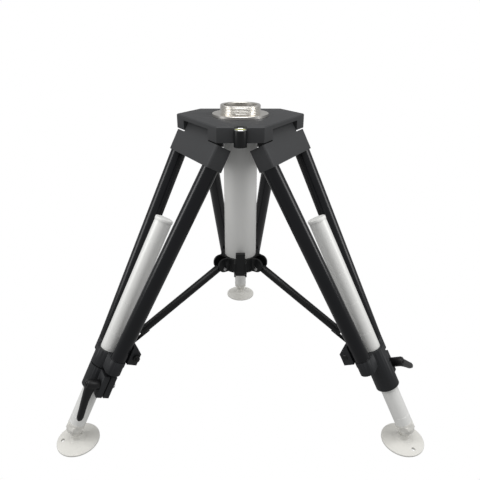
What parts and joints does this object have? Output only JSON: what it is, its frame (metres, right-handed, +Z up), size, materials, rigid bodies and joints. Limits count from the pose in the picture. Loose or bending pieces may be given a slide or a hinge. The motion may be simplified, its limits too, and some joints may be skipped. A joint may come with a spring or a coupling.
{
  "type": "metrology instrument tripod",
  "caption": "Heavy-duty floor tripod with a threaded instrument ring on a hexagonal head, twin-tube legs with sliding lower tubes, a spreader hub and ball-jointed pads.",
  "frame": {"origin": "centre of the ring flange's upper face, where an instrument seats", "axes": "+Z up along the instrument thread; +Y toward the rear leg; the other legs point 30 degrees below -X and +X"},
  "size_m": [0.8738, 0.77, 0.7474],
  "materials": {
    "plate_dark": "dark grey anodised, fine satin",
    "collar_dark": "near-black anodised, satin",
    "ring_steel": "turned and polished",
    "steel": "plain machined",
    "chrome": "polished",
    "aluminium_plain": "machined",
    "column_grey": "pale grey satin",
    "tube_black": "gloss black anodised",
    "tube_silver": "drawn, satin anodised",
    "plug_pale": "moulded",
    "plastic_black": "moulded",
    "black_satin": "satin black",
    "lever_black": "black, lightly textured",
    "foot_paint": "warm light grey paint",
    "vial": "tinted liquid under a clear lens"
  },
  "bodies": {
    "head": {"head_plate": "plate_dark", "instrument_ring": "ring_steel", "ring_screws": "steel", "centre_column": "column_grey", "column_head": "aluminium_plain", "column_screws": "steel", "column_end_cap": "plastic_black", "level_housing": "black_satin", "level_vial": "vial", "level_bezel": "chrome", "hinge_axles": "steel"},
    "hub": {"spreader_hub": "black_satin", "arm_pins": "steel", "hub_lock_pin": "steel"},
    "lock_lever": {"hub_lock_lever": "black_satin"},
    "left_leg": {"left_leg_bracket": "plate_dark", "left_outer_tube_front": "tube_black", "left_outer_tube_back": "tube_black", "left_collar": "collar_dark", "left_spreader_block": "collar_dark", "left_block_bolt": "steel", "left_clamp_bolt": "steel"},
    "left_lever": {"left_clamp_lever": "lever_black"},
    "left_slide": {"left_inner_tube": "tube_silver", "left_tube_plug": "plug_pale", "left_foot_socket": "foot_paint"},
    "left_ball": {"left_foot_ball": "chrome"},
    "left_foot": {"left_foot_pad": "foot_paint"},
    "left_arm": {"left_spreader_arm": "black_satin"},
    "right_leg": {"right_leg_bracket": "plate_dark", "right_outer_tube_front": "tube_black", "right_outer_tube_back": "tube_black", "right_collar": "collar_dark", "right_spreader_block": "collar_dark", "right_block_bolt": "steel", "right_clamp_bolt": "steel"},
    "right_lever": {"right_clamp_lever": "lever_black"},
    "right_slide": {"right_inner_tube": "tube_silver", "right_tube_plug": "plug_pale", "right_foot_socket": "foot_paint"},
    "right_ball": {"right_foot_ball": "chrome"},
    "right_foot": {"right_foot_pad": "foot_paint"},
    "right_arm": {"right_spreader_arm": "black_satin"},
    "rear_leg": {"rear_leg_bracket": "plate_dark", "rear_outer_tube_left": "tube_black", "rear_outer_tube_right": "tube_black", "rear_collar": "collar_dark", "rear_spreader_block": "collar_dark", "rear_block_bolt": "steel", "rear_clamp_bolt": "steel"},
    "rear_lever": {"rear_clamp_lever": "lever_black"},
    "rear_slide": {"rear_inner_tube": "tube_silver", "rear_tube_plug": "plug_pale", "rear_foot_socket": "foot_paint"},
    "rear_ball": {"rear_foot_ball": "chrome"},
    "rear_foot": {"rear_foot_pad": "foot_paint"},
    "rear_arm": {"rear_spreader_arm": "black_satin"}
  },
  "joints": [
    {"name": "left_fold", "type": "hinge", "parent": "head", "child": "left_leg", "pos_m": [-0.07171, -0.0414, -0.027], "axis": [0.5, -0.866, 0], "range_deg": [0, 25]},
    {"name": "hub_slide", "type": "slide", "parent": "head", "child": "hub", "axis": [0, 0, 1], "range_m": [0, 0.086]},
    {"name": "hub_lock", "type": "hinge", "parent": "hub", "child": "lock_lever", "pos_m": [0, -0.057, -0.3654], "axis": [1, 0, 0], "range_deg": [0, 100]},
    {"name": "left_arm_swing", "type": "hinge", "parent": "hub", "child": "left_arm", "pos_m": [-0.04503, -0.026, -0.3654], "axis": [0.5, -0.866, 0], "range_deg": [0, 56]},
    {"name": "left_extend", "type": "slide", "parent": "left_leg", "child": "left_slide", "axis": [-0.4132, -0.2386, -0.8788], "range_m": [-0.085, 0.25]},
    {"name": "left_foot_tilt", "type": "hinge", "parent": "left_slide", "child": "left_ball", "pos_m": [-0.38794, -0.22398, -0.6834], "axis": [0.5, -0.866, 0], "range_deg": [-57, 2]},
    {"name": "left_foot_roll", "type": "hinge", "parent": "left_ball", "child": "left_foot", "pos_m": [-0.38794, -0.22398, -0.6834], "axis": [-0.866, -0.5, 0], "range_deg": [-12, 12]},
    {"name": "left_clamp", "type": "hinge", "parent": "left_leg", "child": "left_lever", "pos_m": [-0.31398, -0.23093, -0.55233], "axis": [-0.7611, -0.4394, 0.4772], "range_deg": [0, 90]},
    {"name": "right_fold", "type": "hinge", "parent": "head", "child": "right_leg", "pos_m": [0.07171, -0.0414, -0.027], "axis": [0.5, 0.866, 0], "range_deg": [0, 25]},
    {"name": "right_arm_swing", "type": "hinge", "parent": "hub", "child": "right_arm", "pos_m": [0.04503, -0.026, -0.3654], "axis": [0.5, 0.866, 0], "range_deg": [0, 56]},
    {"name": "right_extend", "type": "slide", "parent": "right_leg", "child": "right_slide", "axis": [0.4132, -0.2386, -0.8788], "range_m": [-0.085, 0.25]},
    {"name": "right_foot_tilt", "type": "hinge", "parent": "right_slide", "child": "right_ball", "pos_m": [0.38794, -0.22398, -0.6834], "axis": [0.5, 0.866, 0], "range_deg": [-57, 2]},
    {"name": "right_foot_roll", "type": "hinge", "parent": "right_ball", "child": "right_foot", "pos_m": [0.38794, -0.22398, -0.6834], "axis": [0.866, -0.5, 0], "range_deg": [-12, 12]},
    {"name": "right_clamp", "type": "hinge", "parent": "right_leg", "child": "right_lever", "pos_m": [0.35698, -0.15645, -0.55233], "axis": [0.7611, -0.4394, 0.4772], "range_deg": [-45, 40]},
    {"name": "rear_fold", "type": "hinge", "parent": "head", "child": "rear_leg", "pos_m": [0, 0.0828, -0.027], "axis": [-1, 0, 0], "range_deg": [0, 25]},
    {"name": "rear_arm_swing", "type": "hinge", "parent": "hub", "child": "rear_arm", "pos_m": [0, 0.052, -0.3654], "axis": [-1, 0, 0], "range_deg": [0, 56]},
    {"name": "rear_extend", "type": "slide", "parent": "rear_leg", "child": "rear_slide", "axis": [0, 0.4772, -0.8788], "range_m": [-0.085, 0.25]},
    {"name": "rear_foot_tilt", "type": "hinge", "parent": "rear_slide", "child": "rear_ball", "pos_m": [0, 0.44796, -0.6834], "axis": [-1, 0, 0], "range_deg": [-57, 2]},
    {"name": "rear_foot_roll", "type": "hinge", "parent": "rear_ball", "child": "rear_foot", "pos_m": [0, 0.44796, -0.6834], "axis": [0, 1, 0], "range_deg": [-12, 12]},
    {"name": "rear_clamp", "type": "hinge", "parent": "rear_leg", "child": "rear_lever", "pos_m": [-0.043, 0.38738, -0.55233], "axis": [0, 0.8788, 0.4772], "range_deg": [0, 90]}
  ],
  "couplings": [
    {"joint": "hub_slide", "follows": "left_fold", "m_per_rad": 0.19559},
    {"joint": "left_arm_swing", "follows": "left_fold", "ratio": 2.2262},
    {"joint": "right_fold", "follows": "left_fold", "ratio": 1},
    {"joint": "right_arm_swing", "follows": "left_fold", "ratio": 2.2262},
    {"joint": "rear_fold", "follows": "left_fold", "ratio": 1},
    {"joint": "rear_arm_swing", "follows": "left_fold", "ratio": 2.2262}
  ]
}
